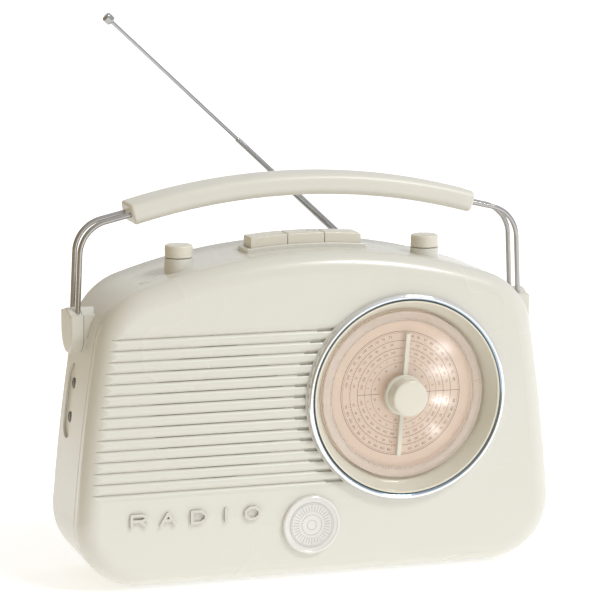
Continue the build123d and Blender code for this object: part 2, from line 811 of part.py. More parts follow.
with BuildPart() as handle_bosses:
    for side in (-1, 1):
        with BuildSketch(Plane.YZ.offset(side * boss_inner_x)):
            with Locations((pivot_y, pivot_z)):
                Circle(boss_r)
            with Locations((pivot_y, (pivot_z + boss_top_z) / 2)):
                Rectangle(2 * boss_r, boss_top_z - pivot_z)
        extrude(amount=side * boss_t)
    fillet(handle_bosses.faces().sort_by(Axis.X)[-1].edges(), 1.2)
    fillet(handle_bosses.faces().sort_by(Axis.X)[0].edges(), 1.2)
    for side in (-1, 1):
        with BuildSketch(Plane.YZ.offset(side * (boss_inner_x - 1))):
            with Locations((pivot_y, pivot_z)):
                Circle(pin_r + fit_gap)
        extrude(amount=side * 6.2, mode=Mode.SUBTRACT)
    add(handle_wires.part, mode=Mode.SUBTRACT)

with BuildPart() as handle_pins:
    for side in (-1, 1):
        with BuildSketch(Plane.YZ.offset(side * pad_inner_x)):
            with Locations((pivot_y, pivot_z)):
                Circle(pin_r)
        extrude(amount=side * (boss_inner_x + 4.8 - pad_inner_x))
        with BuildSketch(Plane.YZ.offset(side * pad_inner_x)):
            with Locations((pivot_y, pivot_z)):
                RegularPolygon(5.0, 6)
        extrude(amount=-side * 2.5)

# ---- telescopic aerial ----
aerial_dir = Vector(cos(radians(aerial_angle)), 0, sin(radians(aerial_angle)))
aerial_pivot = Vector(aerial_x, aerial_y, aerial_z)
tilt_dir = Vector(aerial_dir.Z, 0, -aerial_dir.X)
base_tube_l = 122.0
mid_shown, mid_l = 33.7, 110.0
tip_shown, tip_l = 103.9, 112.0
base_r, mid_r, tip_r = 2.2, 1.6, 1.1
base_bore_r, mid_bore_r = 1.66, 1.15


def along_aerial(distance):
    """The plane square to the aerial's line at this distance from its tilt pin."""
    return Plane(origin=aerial_pivot + aerial_dir * distance, x_dir=(0, 1, 0), z_dir=aerial_dir)


def across_pin(distance):
    """The plane square to the tilt pin at this distance along it: its axes are Y and the aerial's line."""
    return Plane(origin=aerial_pivot + tilt_dir * distance, x_dir=(0, 1, 0), z_dir=tilt_dir)


with BuildPart() as aerial_bracket:
    with BuildSketch(across(back_y + 2.5)):
        with Locations((aerial_x, aerial_z)):
            Circle(9)
    extrude(amount=2.5)
    fillet(aerial_bracket.faces().sort_by(Axis.Y)[-1].edges(), 0.8)
    with BuildSketch(across(back_y)):
        with Locations((aerial_x, aerial_z)):
            Circle(3.0)
    extrude(amount=8)
    with BuildSketch(across(back_y + 5)):
        with Locations((aerial_x, aerial_z)):
            Circle(2.0 + fit_gap)
    extrude(amount=20, mode=Mode.SUBTRACT)

with BuildPart() as aerial_swivel:
    with BuildSketch(across(back_y + 4.0)):
        with Locations((aerial_x, aerial_z)):
            Circle(7)
    extrude(amount=1.4)
    with BuildSketch(across(back_y + 2.6)):
        with Locations((aerial_x, aerial_z)):
            Circle(2.0)
    extrude(amount=12)
    for side in (-1, 1):
        with BuildSketch(across_pin(side * 1.4)):
            Circle(3.2)
            with Locations((-2.0, 0)):
                Rectangle(4.0, 6.4)
        extrude(amount=side * 1.5)
    # the tilt pin, riveted through both ears
    with BuildSketch(across_pin(-3.4)):
        Circle(1.0)
    extrude(amount=6.8)

with BuildPart() as aerial_knuckle:
    with BuildSketch(across_pin(-1.3)):
        Circle(2.8)
        with Locations((0, 3.5)):
            Rectangle(5.0, 7.0)
        Circle(1.0 + fit_gap, mode=Mode.SUBTRACT)
    extrude(amount=2.6)
    with BuildSketch(along_aerial(6)):
        Circle(3.0)
    extrude(amount=6)
    with BuildSketch(along_aerial(8)):
        Circle(base_r)
    extrude(amount=6, mode=Mode.SUBTRACT)

with BuildPart() as aerial_base_tube:
    with BuildSketch(along_aerial(8)):
        Circle(base_r)
    extrude(amount=base_tube_l - 8)
    with BuildSketch(along_aerial(9)):
        Circle(base_bore_r)
    extrude(amount=base_tube_l, mode=Mode.SUBTRACT)

mid_end = base_tube_l + mid_shown
with BuildPart() as aerial_mid_tube:
    with BuildSketch(along_aerial(mid_end - mid_l)):
        Circle(mid_r)
    extrude(amount=mid_l)
    with BuildSketch(along_aerial(mid_end - mid_l + 1)):
        Circle(mid_bore_r)
    extrude(amount=mid_l, mode=Mode.SUBTRACT)

tip_end = mid_end + tip_shown
with BuildPart() as aerial_tip_rod:
    with BuildSketch(along_aerial(tip_end - tip_l)):
        Circle(tip_r)
    extrude(amount=tip_l)

with BuildPart() as aerial_tip_knob:
    with BuildSketch(along_aerial(tip_end)):
        Circle(3.0)
    extrude(amount=5.5)
    fillet(aerial_tip_knob.edges().filter_by(GeomType.CIRCLE), 1.4)

# ---- fasteners, feet and trim ----
with BuildPart() as case_screws:
    with BuildSketch(across(screw_seat_y + 2.2)):
        with Locations(*screw_posts):
            Circle(screw_head_r)
    extrude(amount=2.2)
    with BuildSketch(across(screw_seat_y + 2.2)):
        with Locations(*screw_posts):
            RectangleRounded(3.6, 0.9, 0.3)
            RectangleRounded(0.9, 3.6, 0.3)
    extrude(amount=1.2, mode=Mode.SUBTRACT)
    with BuildSketch(across(screw_seat_y)):
        with Locations(*screw_posts):
            Circle(1.3)
    extrude(amount=30)

with BuildPart() as feet:
    with BuildSketch(level(0)):
        with GridLocations(2 * foot_x, foot_spread, 2, 2):
            with Locations((0, foot_mid_y)):
                Circle(foot_r)
    extrude(amount=foot_h + 1)
    fillet(feet.faces().group_by(Axis.Z)[0].edges(), 0.6)

badge_x, badge_z, badge_r = -7.55, 33.5, 17.4
with BuildPart() as badge:
    with BuildSketch(across(front_y)):
        with Locations((badge_x, badge_z)):
            Circle(badge_r)
    extrude(amount=2.4)
    fillet(badge.faces().sort_by(Axis.Y)[0].edges(), 1.0)
    with BuildSketch(across(front_y - 2.4)):
        with Locations((badge_x, badge_z)):
            Circle(badge_r - 2.2)
            Circle(badge_r - 2.9, mode=Mode.SUBTRACT)
            Circle(badge_r - 11.5)
            Circle(badge_r - 12.2, mode=Mode.SUBTRACT)
    extrude(amount=0.4)

letter_w, letter_h, letter_stroke, letter_mid_z = 10.0, 8.3, 1.7, 43.0
letter_centres = {"R": -111.2, "A": -93.9, "D": -75.5, "I": -59.35, "O": -43.3}
letter_strokes = {
    "R": [(-1, -1), (-1, 1), (0.5, 1), (1, 0.7), (1, 0.3), (0.5, 0), (-1, 0), (0.2, 0), (1, -1)],
    "A": [(-1, -1), (0, 1), (1, -1), (0.6, -0.2), (-0.6, -0.2)],
    "D": [(-1, -1), (-1, 1), (0.3, 1), (1, 0.4), (1, -0.4), (0.3, -1), (-1, -1)],
    "I": [(0, -1), (0, 1)],
    "O": [(-0.4, 1), (-1, 0.4), (-1, -0.4), (-0.4, -1), (0.4, -1), (1, -0.4), (1, 0.4), (0.4, 1), (-0.4, 1)],
}

with BuildPart() as front_letters:
    for letter, centre in letter_centres.items():
        points = [
            Vector(
                centre + u * (letter_w - letter_stroke) / 2,
                letter_mid_z + v * (letter_h - letter_stroke) / 2,
            )
            for u, v in letter_strokes[letter]
        ]
        with BuildSketch(across(front_y)):
            for start, end in zip(points, points[1:]):
                run = end - start
                with Locations(Location((start + end) / 2, degrees(atan2(run.Y, run.X)))):
                    SlotCenterToCenter(run.length, letter_stroke)
        extrude(amount=1.6)


def save(piece, name):
    piece.part.label = name
    export_step(piece.part, f"parts/{name}.step")


os.makedirs("parts", exist_ok=True)
save(front_shell, "front_shell")
save(rear_shell, "rear_shell")
save(dial_ring, "dial_ring")
save(dial_bezel, "dial_bezel")
save(dial_plate, "dial_plate")
save(dial_frame, "dial_frame")
save(spindle_bush, "spindle_bush")
save(dial_lens, "dial_lens")
save(dial_pointer, "dial_pointer")
save(tuning_knob, "tuning_knob")
save(dial_spindle, "dial_spindle")
save(dial_gear, "dial_gear")
save(capacitor_rotor, "capacitor_rotor")
save(tuning_capacitor, "tuning_capacitor")
save(circuit_board, "circuit_board")
save(board_parts, "board_parts")
save(control_board, "control_board")
save(ferrite_aerial, "ferrite_aerial")
save(mains_transformer, "mains_transformer")
save(mains_inlet, "mains_inlet")
save(speaker_cloth, "speaker_cloth")
save(speaker_basket, "speaker_basket")
save(speaker_cone, "speaker_cone")
save(speaker_magnet, "speaker_magnet")
for control in knobs:
    save(knobs[control], f"{control}_knob")
    save(shafts[control], f"{control}_shaft")
    save(potentiometers[control], f"{control}_potentiometer")
save(key_plinth, "key_plinth")
for key_name in keys:
    save(keys[key_name], f"{key_name}_key")
    save(springs[key_name], f"{key_name}_key_spring")
save(key_switch_bank, "key_switch_bank")
save(battery_tray, "battery_tray")
save(battery_cells, "battery_cells")
save(battery_contacts, "battery_contacts")
save(battery_door, "battery_door")
save(socket_panel, "socket_panel")
save(sockets, "sockets")
save(grip_upper, "grip_upper")
save(grip_lower, "grip_lower")
save(handle_wires, "handle_wires")
save(handle_bosses, "handle_bosses")
save(handle_pins, "handle_pins")
save(aerial_bracket, "aerial_bracket")
save(aerial_swivel, "aerial_swivel")
save(aerial_knuckle, "aerial_knuckle")
save(aerial_base_tube, "aerial_base_tube")
save(aerial_mid_tube, "aerial_mid_tube")
save(aerial_tip_rod, "aerial_tip_rod")
save(aerial_tip_knob, "aerial_tip_knob")
save(case_screws, "case_screws")
save(feet, "feet")
save(badge, "badge")
save(front_letters, "front_letters")
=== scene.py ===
import json
from math import cos, pi, radians, sin, sqrt, tan

import bmesh
import bpy
from mathutils import Matrix, Vector


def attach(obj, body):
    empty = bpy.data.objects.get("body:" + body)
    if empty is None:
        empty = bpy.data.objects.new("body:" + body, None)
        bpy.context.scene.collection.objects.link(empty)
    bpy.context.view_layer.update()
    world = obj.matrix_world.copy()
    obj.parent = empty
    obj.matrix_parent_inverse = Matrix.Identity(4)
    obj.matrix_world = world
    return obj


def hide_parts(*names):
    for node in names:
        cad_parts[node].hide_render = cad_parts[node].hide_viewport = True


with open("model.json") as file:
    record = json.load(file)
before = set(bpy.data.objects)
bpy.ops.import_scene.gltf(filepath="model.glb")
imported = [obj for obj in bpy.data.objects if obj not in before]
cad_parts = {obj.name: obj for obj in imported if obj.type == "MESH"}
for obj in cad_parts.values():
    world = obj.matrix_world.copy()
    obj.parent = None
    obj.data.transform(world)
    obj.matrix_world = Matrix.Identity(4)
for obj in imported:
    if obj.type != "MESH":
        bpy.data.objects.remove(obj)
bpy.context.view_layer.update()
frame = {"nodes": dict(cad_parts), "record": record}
nodes = frame["nodes"]
scene = bpy.context.scene
MM = 0.001

# the case's dimensions and the places of its parts in mm, the same as in the CAD
FOOT_H, CASE_H = 2.0, 190.9
BASE_HALF, SHOULDER_X = 147.4, 128.3
ARCH_R, SIDE_R = 329.0, 1245.0
DIAL_X, DIAL_Z = 50.9, 106.1
BADGE_X, BADGE_Z = -7.55, 33.5
KNOBS_MIDDLE_X, KNOBS_FROM_MIDDLE, KNOBS_Y = -4.3, 75.2, -10.5
PANEL_Y, PANEL_Z = 17.0, 104.0

# ---------------------------------------------------------------- camera

camera_data = bpy.data.cameras.new("camera")
camera_data.lens = 164.51
camera_data.sensor_width = 36.0
camera = bpy.data.objects.new("camera", camera_data)
scene.collection.objects.link(camera)
camera.location = (-0.48929, -1.5159, 0.43123)
look_at = Vector((-0.00277, 0, 0.15976))
camera.rotation_euler = (look_at - camera.location).to_track_quat("-Z", "Y").to_euler()
camera.rotation_euler.rotate_axis("Z", radians(0.264))
scene.camera = camera
scene.view_settings.view_transform = "Standard"


# ---------------------------------------------------------------- materials


def new_material(name):
    material = bpy.data.materials.new(name)
    material.use_nodes = True
    return material, material.node_tree.nodes, material.node_tree.links


def noise(tree, scale, detail=3.0):
    """A noise texture laid out in the object's own coordinates, in metres."""
    place = tree.nodes.new("ShaderNodeTexCoord")
    texture = tree.nodes.new("ShaderNodeTexNoise")
    texture.inputs["Scale"].default_value = scale
    texture.inputs["Detail"].default_value = detail
    tree.links.new(place.outputs["Object"], texture.inputs["Vector"])
    return texture.outputs[0]


def spread(tree, value, low, high):
    """The noise value stretched so that it runs from low to high."""
    node = tree.nodes.new("ShaderNodeMapRange")
    node.inputs["From Min"].default_value = 0.1
    node.inputs["From Max"].default_value = 0.9
    node.inputs["To Min"].default_value = low
    node.inputs["To Max"].default_value = high
    tree.links.new(value, node.inputs["Value"])
    return node.outputs[0]


def blend_colors(tree, factor, first, second):
    node = tree.nodes.new("ShaderNodeMix")
    node.data_type = "RGBA"
    node.inputs[6].default_value = (*first, 1)
    node.inputs[7].default_value = (*second, 1)
    tree.links.new(factor, node.inputs[0])
    return node.outputs[2]


def surface(name, color, roughness, metallic=0.0, shade=0.94, cloud=25.0, grain=900.0, bump=0.02, coat=0.0):
    """A finish with faint cloudy tone changes, uneven polish and a fine moulded grain."""
    material, shader_nodes, links = new_material(name)
    tree = material.node_tree
    shader = shader_nodes["Principled BSDF"]
    shader.inputs["Metallic"].default_value = metallic
    shader.inputs["Coat Weight"].default_value = coat
    shader.inputs["Coat Roughness"].default_value = 0.08
    clouds = noise(tree, cloud)
    darker = tuple(v * shade for v in color)
    links.new(blend_colors(tree, spread(tree, clouds, 0, 1), darker, color), shader.inputs["Base Color"])
    polish = spread(tree, noise(tree, cloud), roughness * 0.9, roughness * 1.12)
    links.new(polish, shader.inputs["Roughness"])
    relief = shader_nodes.new("ShaderNodeBump")
    relief.inputs["Strength"].default_value = bump
    relief.inputs["Distance"].default_value = 0.0002
    links.new(noise(tree, grain), relief.inputs["Height"])
    links.new(relief.outputs[0], shader.inputs["Normal"])
    return material


def clear_cover(name, haze, tint):
    """Thin clear plastic: see-through face on, mirror-like at a slant, with a little haze."""
    material, shader_nodes, links = new_material(name)
    tree = material.node_tree
    shader_nodes.remove(shader_nodes["Principled BSDF"])
    see_through = shader_nodes.new("ShaderNodeBsdfTransparent")
    see_through.inputs["Color"].default_value = (*tint, 1)
    mirror = shader_nodes.new("ShaderNodeBsdfGlossy")
    mirror.inputs["Color"].default_value = (1, 1, 1, 1)
    links.new(spread(tree, noise(tree, 60), 0.03, 0.10), mirror.inputs["Roughness"])
    milk = shader_nodes.new("ShaderNodeBsdfDiffuse")
    milk.inputs["Color"].default_value = (0.9, 0.84, 0.78, 1)
    cloudy = shader_nodes.new("ShaderNodeMixShader")
    links.new(spread(tree, noise(tree, 40), haze * 0.7, haze * 1.3), cloudy.inputs[0])
    links.new(see_through.outputs[0], cloudy.inputs[1])
    links.new(milk.outputs[0], cloudy.inputs[2])
    slant = shader_nodes.new("ShaderNodeFresnel")
    slant.inputs["IOR"].default_value = 1.45
    mixed = shader_nodes.new("ShaderNodeMixShader")
    links.new(slant.outputs[0], mixed.inputs[0])
    links.new(cloudy.outputs[0], mixed.inputs[1])
    links.new(mirror.outputs[0], mixed.inputs[2])
    links.new(mixed.outputs[0], shader_nodes["Material Output"].inputs["Surface"])
    return material


cream = surface("cream_plastic", (0.682, 0.672, 0.610), 0.27, shade=0.98, cloud=5, bump=0.004, coat=0.2)
knob_cream = surface("knob_plastic", (0.700, 0.672, 0.580), 0.26, shade=0.98, cloud=60, coat=0.2)
grip_cream = surface(
    "grip_plastic", (0.705, 0.690, 0.625), 0.34, shade=0.975, cloud=35, grain=600, bump=0.05
)
funnel_cream = surface("funnel_plastic", (0.700, 0.665, 0.560), 0.22, shade=0.98, coat=0.3)
badge_white = surface("badge_enamel", (0.730, 0.722, 0.690), 0.2, shade=0.97, cloud=120, coat=0.4)
badge_grey = surface("badge_print", (0.52, 0.52, 0.51), 0.4, shade=0.9, cloud=300)
chrome = surface("chrome", (0.86, 0.87, 0.89), 0.09, 1.0, cloud=90, bump=0.01)
# darker bluish chrome for the dial ring's inner slope: a painted reflection of the room's cool tone
chrome_painted_reflection = surface("chrome_painted_reflection", (0.36, 0.46, 0.56), 0.12, 1.0, cloud=60, bump=0.01)
wire_chrome = surface("wire_chrome", (0.47, 0.455, 0.445), 0.15, 1.0, cloud=70, bump=0.03)
aerial_chrome = surface("aerial_chrome", (0.44, 0.44, 0.45), 0.13, 1.0, cloud=70, bump=0.03)
steel = surface("steel", (0.56, 0.56, 0.55), 0.34, 1.0, shade=0.85, cloud=150, bump=0.08)
brass = surface("brass", (0.70, 0.52, 0.24), 0.3, 1.0, shade=0.85, cloud=150)
black = surface("black_plastic", (0.025, 0.025, 0.026), 0.4, shade=0.7, cloud=90, bump=0.08)
grey = surface("grey_plastic", (0.16, 0.155, 0.15), 0.45, shade=0.85, cloud=90, bump=0.08)
rubber = surface("rubber", (0.03, 0.03, 0.03), 0.75, shade=0.7, cloud=200, bump=0.2)
board = surface("board_green", (0.03, 0.13, 0.05), 0.35, shade=0.8, cloud=120)
iron = surface("varnished_iron", (0.08, 0.075, 0.07), 0.5, 0.4, shade=0.7, cloud=200, bump=0.15)
paper = surface("cone_paper", (0.05, 0.045, 0.04), 0.85, shade=0.75, cloud=300, bump=0.3)
cloth = surface("speaker_cloth", (0.60, 0.57, 0.48), 0.9, shade=0.85, cloud=700, grain=2500, bump=0.5)
jacket = surface("cell_jacket", (0.05, 0.12, 0.28), 0.35, shade=0.85, cloud=90)
peach = surface("peach_card", (0.98, 0.83, 0.71), 0.55, shade=0.975, cloud=45, grain=1500, bump=0.05)
# the card glows faintly: painted light that makes up for the light lost through the clear cover
peach.node_tree.nodes["Principled BSDF"].inputs["Emission Color"].default_value = (1.0, 0.84, 0.71, 1)
peach.node_tree.nodes["Principled BSDF"].inputs["Emission Strength"].default_value = 0.13
letter_chrome = surface("letter_chrome", (0.60, 0.575, 0.53), 0.2, 1.0, cloud=200, bump=0.02)
ink = surface("dial_ink", (0.30, 0.21, 0.17), 0.6, shade=0.85, cloud=400)
clear = clear_cover("clear_cover", 0.015, (1.0, 0.985, 0.97))
frosted = clear_cover("clear_rim", 0.34, (1.0, 0.97, 0.94))

looks = {
    "case_cream": cream, "handle_cream": grip_cream, "knob_cream": knob_cream,
    "dial_cream": funnel_cream, "printed_dial": peach, "clear_plastic": clear,
    "chrome_trim": chrome, "chrome_wire": wire_chrome, "aerial_chrome": aerial_chrome,
    "dark_plastic": black, "grey_plastic": grey, "steel": steel, "brass": brass,
    "board_green": board, "core_iron": iron, "ferrite": iron, "cone_paper": paper, "cloth": cloth,
    "cell_jacket": jacket, "rubber": rubber,
}
slot_of = {part["node"]: part["material_slot"] for part in frame["record"]["subparts"]}
for name, obj in nodes.items():
    obj.data.materials.clear()
    obj.data.materials.append(looks[slot_of[name]])
nodes["tuning_capacitor"].data.materials[0] = grey
nodes["front_letters"].data.materials[0] = letter_chrome

# ---------------------------------------------------------------- pieces in mesh code


def to_object(name, shape, material, body, slot_name, *replaced, sharp=32.0):
    """A finished piece that rides on a body and stands for the CAD nodes named last."""
    bmesh.ops.remove_doubles(shape, verts=shape.verts, dist=1e-7)
    bmesh.ops.recalc_face_normals(shape, faces=shape.faces)
    for face in shape.faces:
        face.smooth = True
    for edge in shape.edges:
        edge.smooth = len(edge.link_faces) == 2 and edge.calc_face_angle(0.0) < radians(sharp)
    mesh = bpy.data.meshes.new(name)
    shape.to_mesh(mesh)
    shape.free()
    mesh.materials.append(material)
    obj = bpy.data.objects.new(name, mesh)
    scene.collection.objects.link(obj)
    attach(obj, body)
    if replaced:
        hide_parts(*replaced)
    return obj


def add_lathe(shape, profile, place, steps):
    """Turns a closed outline of (radius, height) in mm round the place's own Z axis."""
    rings = []
    for step in range(steps):
        turn = 2 * pi * step / steps
        points = [(r * cos(turn) * MM, r * sin(turn) * MM, h * MM) for r, h in profile]
        rings.append([shape.verts.new(place @ Vector(point)) for point in points])
    count = len(profile)
    for step in range(steps):
        this, following = rings[step], rings[(step + 1) % steps]
        for i in range(count):
            j = (i + 1) % count
            if profile[i][0] == 0 and profile[j][0] == 0:
                continue
            shape.faces.new((this[i], following[i], following[j], this[j]))
    bmesh.ops.remove_doubles(shape, verts=shape.verts, dist=1e-8)


def add_band(shape, radius, width, low, high, place, steps):
    """A flat ring from this outer radius inwards, between two heights in mm."""
    inner = radius - width
    add_lathe(shape, [(radius, low), (radius, high), (inner, high), (inner, low)], place, steps)


def facing_front(x, z):
    """A place at y = 0 and this x and z in mm, whose own Z axis points out of the front."""
    return Matrix.Translation((x * MM, 0, z * MM)) @ Matrix.Rotation(radians(90), 4, "X")


def add_box(shape, place, x0, x1, y0, y1, z0, z1):
    """A box between these coordinates of the place, in mm."""
    corners = [(x * MM, y * MM, z * MM) for x in (x0, x1) for y in (y0, y1) for z in (z0, z1)]
    v = [shape.verts.new(place @ Vector(corner)) for corner in corners]
    for a, b, c, d in ((0, 1, 3, 2), (4, 6, 7, 5), (0, 4, 5, 1), (2, 3, 7, 6), (0, 2, 6, 4), (1, 5, 7, 3)):
        shape.faces.new((v[a], v[b], v[c], v[d]))


def add_tube(shape, points, radius, sides):
    """A round bar through these points in mm, with flat ends."""
    path = [Vector(p) * MM for p in points]
    rings = []
    side = None
    for i, point in enumerate(path):
        ahead = (path[min(i + 1, len(path) - 1)] - path[max(i - 1, 0)]).normalized()
        if side is None:
            side = ahead.orthogonal().normalized()
        side = (side - ahead * side.dot(ahead)).normalized()
        other = ahead.cross(side)
        ring = []
        for k in range(sides):
            turn = 2 * pi * k / sides
            ring.append(shape.verts.new(point + (side * cos(turn) + other * sin(turn)) * radius * MM))
        rings.append(ring)
    for first, second in zip(rings, rings[1:]):
        for k in range(sides):
            shape.faces.new((first[k], first[(k + 1) % sides], second[(k + 1) % sides], second[k]))
    shape.faces.new(rings[0])
    shape.faces.new(list(reversed(rings[-1])))


def bend(points, radius, steps=14):
    """The same path with its middle corner rounded."""
    a, b, c = (Vector(p) for p in points)
    before, after = (a - b).normalized(), (c - b).normalized()
    half = before.angle(after) / 2
    centre = b + (before + after).normalized() * (radius / sin(half))
    start = b + before * (radius / tan(half))
    end = b + after * (radius / tan(half))
    u, w = start - centre, end - centre
    sweep = u.angle(w)
    arc = []
    for i in range(steps + 1):
        t = i / steps
        arc.append(centre + (u * sin((1 - t) * sweep) + w * sin(t * sweep)) / sin(sweep))
    return [a, *arc, c]


# ---------------------------------------------------------------- dial

dial_place = facing_front(DIAL_X, DIAL_Z)

# the ring's outer roll is bright, and the narrow inner slope is coloured a darker cool blue, a painted
# reflection of the room's cooler tone
outer_roll = [(61.08, 37.6), (61.08, 39.3), (60.9, 40.3), (60.5, 41.0), (59.9, 41.45), (59.2, 41.55)]
outer_roll += [(58.75, 41.4), (58.75, 37.6)]
shape = bmesh.new()
add_lathe(shape, outer_roll, dial_place, 192)
to_object("dial_ring_outer", shape, chrome, "case", "chrome_trim", "dial_ring")
inner_slope = [(58.74, 37.6), (58.74, 41.38), (58.3, 41.1), (57.8, 40.5), (57.55, 39.8), (57.55, 37.6)]
shape = bmesh.new()
add_lathe(shape, inner_slope, dial_place, 192)
to_object("dial_ring_inner", shape, chrome_painted_reflection, "case", "chrome_trim")

# the funnel's wall runs in and down from the ring to the card
funnel = [(57.25, 40.85), (56.6, 40.88), (56.1, 40.6)]
funnel += [(56.0 - 5.0 * t - 0.35 * sin(pi * t), 40.3 - 10.8 * t) for t in (i / 14 for i in range(15))]
funnel += [(50.7, 29.25), (50.25, 28.9), (50.25, 25.6), (53.55, 25.6), (53.55, 28.9), (55.0, 30.4)]
funnel += [(60.4, 30.4), (60.4, 32.35), (57.25, 32.35)]
shape = bmesh.new()
add_lathe(shape, funnel, dial_place, 192)
to_object("dial_funnel", shape, funnel_cream, "case", "dial_cream", "dial_bezel")

# printed card: thin circles, a line to each side, rows of ticks and rows of plain numbers
CARD, PRINT = 27.1, 0.05
shape = bmesh.new()
for radius, width in ((37.2, 0.32), (36.2, 0.16), (31.6, 0.26), (27.0, 0.26), (22.4, 0.18), (18.4, 0.18)):
    add_band(shape, radius, width, CARD, CARD + PRINT, dial_place, 144)
for start, end, turn in ((13.5, 37.0, 0), (13.5, 27.0, 180)):
    place = dial_place @ Matrix.Rotation(radians(turn), 4, "Z")
    add_box(shape, place, start, end, -0.14, 0.14, CARD, CARD + PRINT)
TICK_GAP = 3  # ticks fewer than this many steps from a quarter turn are left out
for radius, count, length in ((31.8, 120, 0.9), (27.2, 84, 0.8)):
    quarter = count // 4
    for i in range(count):
        if i % quarter < TICK_GAP or i % quarter > quarter - TICK_GAP:
            continue
        place = dial_place @ Matrix.Rotation(2 * pi * i / count, 4, "Z")
        end = radius + length * (1.6 if i % 4 == 0 else 1)
        add_box(shape, place, radius, end, -0.07, 0.07, CARD, CARD + PRINT)

# radius, type size, labels and how many of them stand in each quarter of the dial
rows = (
    (33.6, 2.1875, ("88", "92", "96", "100", "104", "108"), 10),
    (28.9, 2.0, ("55", "60", "70", "80", "100", "120", "160"), 8),
    (24.0, 2.0, ("150", "200", "250", "300", "350"), 7),
    (19.8, 1.875, ("5", "6", "7", "9", "12", "16"), 6),
    (15.6, 1.75, ("20", "30", "40", "60"), 4),
)
FIRST_LABEL, LABEL_SPAN = 11, 68  # degrees into each quarter, and degrees from its first to its last label
printed = {}
for radius, size, labels, per_quarter in rows:
    for quarter in range(4):
        for i in range(per_quarter):
            label = labels[(i + quarter) % len(labels)]
            if (label, size) not in printed:
                text = bpy.data.curves.new("number", "FONT")
                text.body = label
                text.size = size * MM
                text.extrude = PRINT / 2 * MM
                text.align_x = "CENTER"
                text.resolution_u = 2
                carrier = bpy.data.objects.new("number", text)
                scene.collection.objects.link(carrier)
                printed[label, size] = bpy.data.meshes.new_from_object(
                    carrier.evaluated_get(bpy.context.evaluated_depsgraph_get())
                )
                bpy.data.objects.remove(carrier)
            angle = quarter * 90 + FIRST_LABEL + (LABEL_SPAN / (per_quarter - 1)) * i
            place = (
                dial_place
                @ Matrix.Rotation(radians(angle - 90), 4, "Z")
                @ Matrix.Translation((0, radius * MM, (CARD + PRINT / 2) * MM))
            )
            before = set(shape.verts)
            shape.from_mesh(printed[label, size])
            bmesh.ops.transform(shape, matrix=place, verts=[v for v in shape.verts if v not in before])
for mesh in printed.values():
    bpy.data.meshes.remove(mesh)
to_object("dial_print", shape, ink, "case", "printed_dial")

# clear cover that turns with the knob: flat middle, and a frosted rim with a fine knurl
LENS, LENS_BACK = 30.6, 29.1
KNURLS = 150
shape = bmesh.new()
add_lathe(shape, [(9.2, LENS_BACK), (9.2, LENS), (43.7, LENS), (43.7, LENS_BACK)], dial_place, 144)
to_object("lens_window", shape, clear, "tuning_dial", "clear_plastic", "dial_lens")
shape = bmesh.new()
rim = [(43.75, LENS_BACK), (43.75, LENS + 0.1), (44.4, LENS + 0.9), (45.2, LENS + 1.05)]
rim += [(47.6, LENS + 0.75), (48.6, LENS + 1.2), (49.3, LENS + 1.35), (49.7, LENS + 0.9), (49.75, LENS_BACK)]
add_lathe(shape, rim, dial_place, 192)
to_object("lens_rim", shape, frosted, "tuning_dial", "clear_plastic")
shape = bmesh.new()
for i in range(KNURLS):
    place = dial_place @ Matrix.Rotation(2 * pi * i / KNURLS, 4, "Z")
    add_box(shape, place, 44.0, 45.3, -0.32, 0.32, LENS + 0.6, LENS + 1.3)
bmesh.ops.bevel(shape, geom=list(shape.edges), offset=0.18 * MM, segments=1, affect="EDGES")
to_object("lens_knurl", shape, frosted, "tuning_dial", "clear_plastic", sharp=60)

# tuning knob: collar, waist and softly domed cap
SEAT = 33.2
knob = [(0, SEAT), (12.15, SEAT), (12.15, SEAT + 1.3), (11.9, SEAT + 1.8), (11.3, SEAT + 2.1)]
knob += [(10.65, SEAT + 2.2), (10.65, 44.3), (10.45, 44.95), (9.95, 45.35), (9.2, 45.5)]
knob += [(6.0, 45.55), (0, 45.58)]
shape = bmesh.new()
add_lathe(shape, knob, dial_place, 128)
to_object("tuning_cap", shape, knob_cream, "tuning_dial", "knob_cream", "tuning_knob")

# ---------------------------------------------------------------- badge: rings in place of any wording

badge_place = facing_front(BADGE_X, BADGE_Z)
disc = [(0, 37.5), (17.35, 37.5), (17.35, 38.9), (17.1, 39.6), (16.6, 39.98), (15.9, 40.0)]
disc += [(15.5, 39.7), (15.2, 39.55), (0, 39.62)]
shape = bmesh.new()
add_lathe(shape, disc, badge_place, 128)
to_object("badge_disc", shape, badge_white, "case", "case_cream", "badge")
RINGS_FROM, RINGS_TO = 39.5, 39.72
BADGE_RAYS = 36
shape = bmesh.new()
for radius, width in ((13.4, 0.35), (12.4, 0.18), (6.2, 0.3), (3.0, 0.3)):
    add_band(shape, radius, width, RINGS_FROM, RINGS_TO, badge_place, 96)
for i in range(BADGE_RAYS):
    place = badge_place @ Matrix.Rotation(2 * pi * i / BADGE_RAYS, 4, "Z")
    add_box(shape, place, 7.6, 11.2 if i % 3 else 11.8, -0.16, 0.16, RINGS_FROM, RINGS_TO)
to_object("badge_rings", shape, badge_grey, "case", "case_cream")

# ---------------------------------------------------------------- top knobs

cap = [(3.1, 190.45), (7.9, 190.45), (8.15, 190.7), (8.15, 196.3), (8.0, 196.9), (7.6, 197.35)]
cap += [(6.9, 197.6), (4.0, 197.68), (0, 197.7), (0, 195.6), (3.1, 195.6)]
for side, body in ((-1, "volume_control"), (1, "tone_control")):
    place = Matrix.Translation(((side * KNOBS_FROM_MIDDLE + KNOBS_MIDDLE_X) * MM, KNOBS_Y * MM, 0))
    shape = bmesh.new()
    add_lathe(shape, cap, place, 96)
    name = body.split("_")[0]
    to_object(name + "_cap", shape, knob_cream, body, "knob_cream", name + "_knob")

# ---------------------------------------------------------------- handle wires and aerial tubes

WIRES_Y, WIRES_FROM_MIDDLE = 9.0, 6.75
WIRE_R, WIRE_BEND = 1.5, 20.0
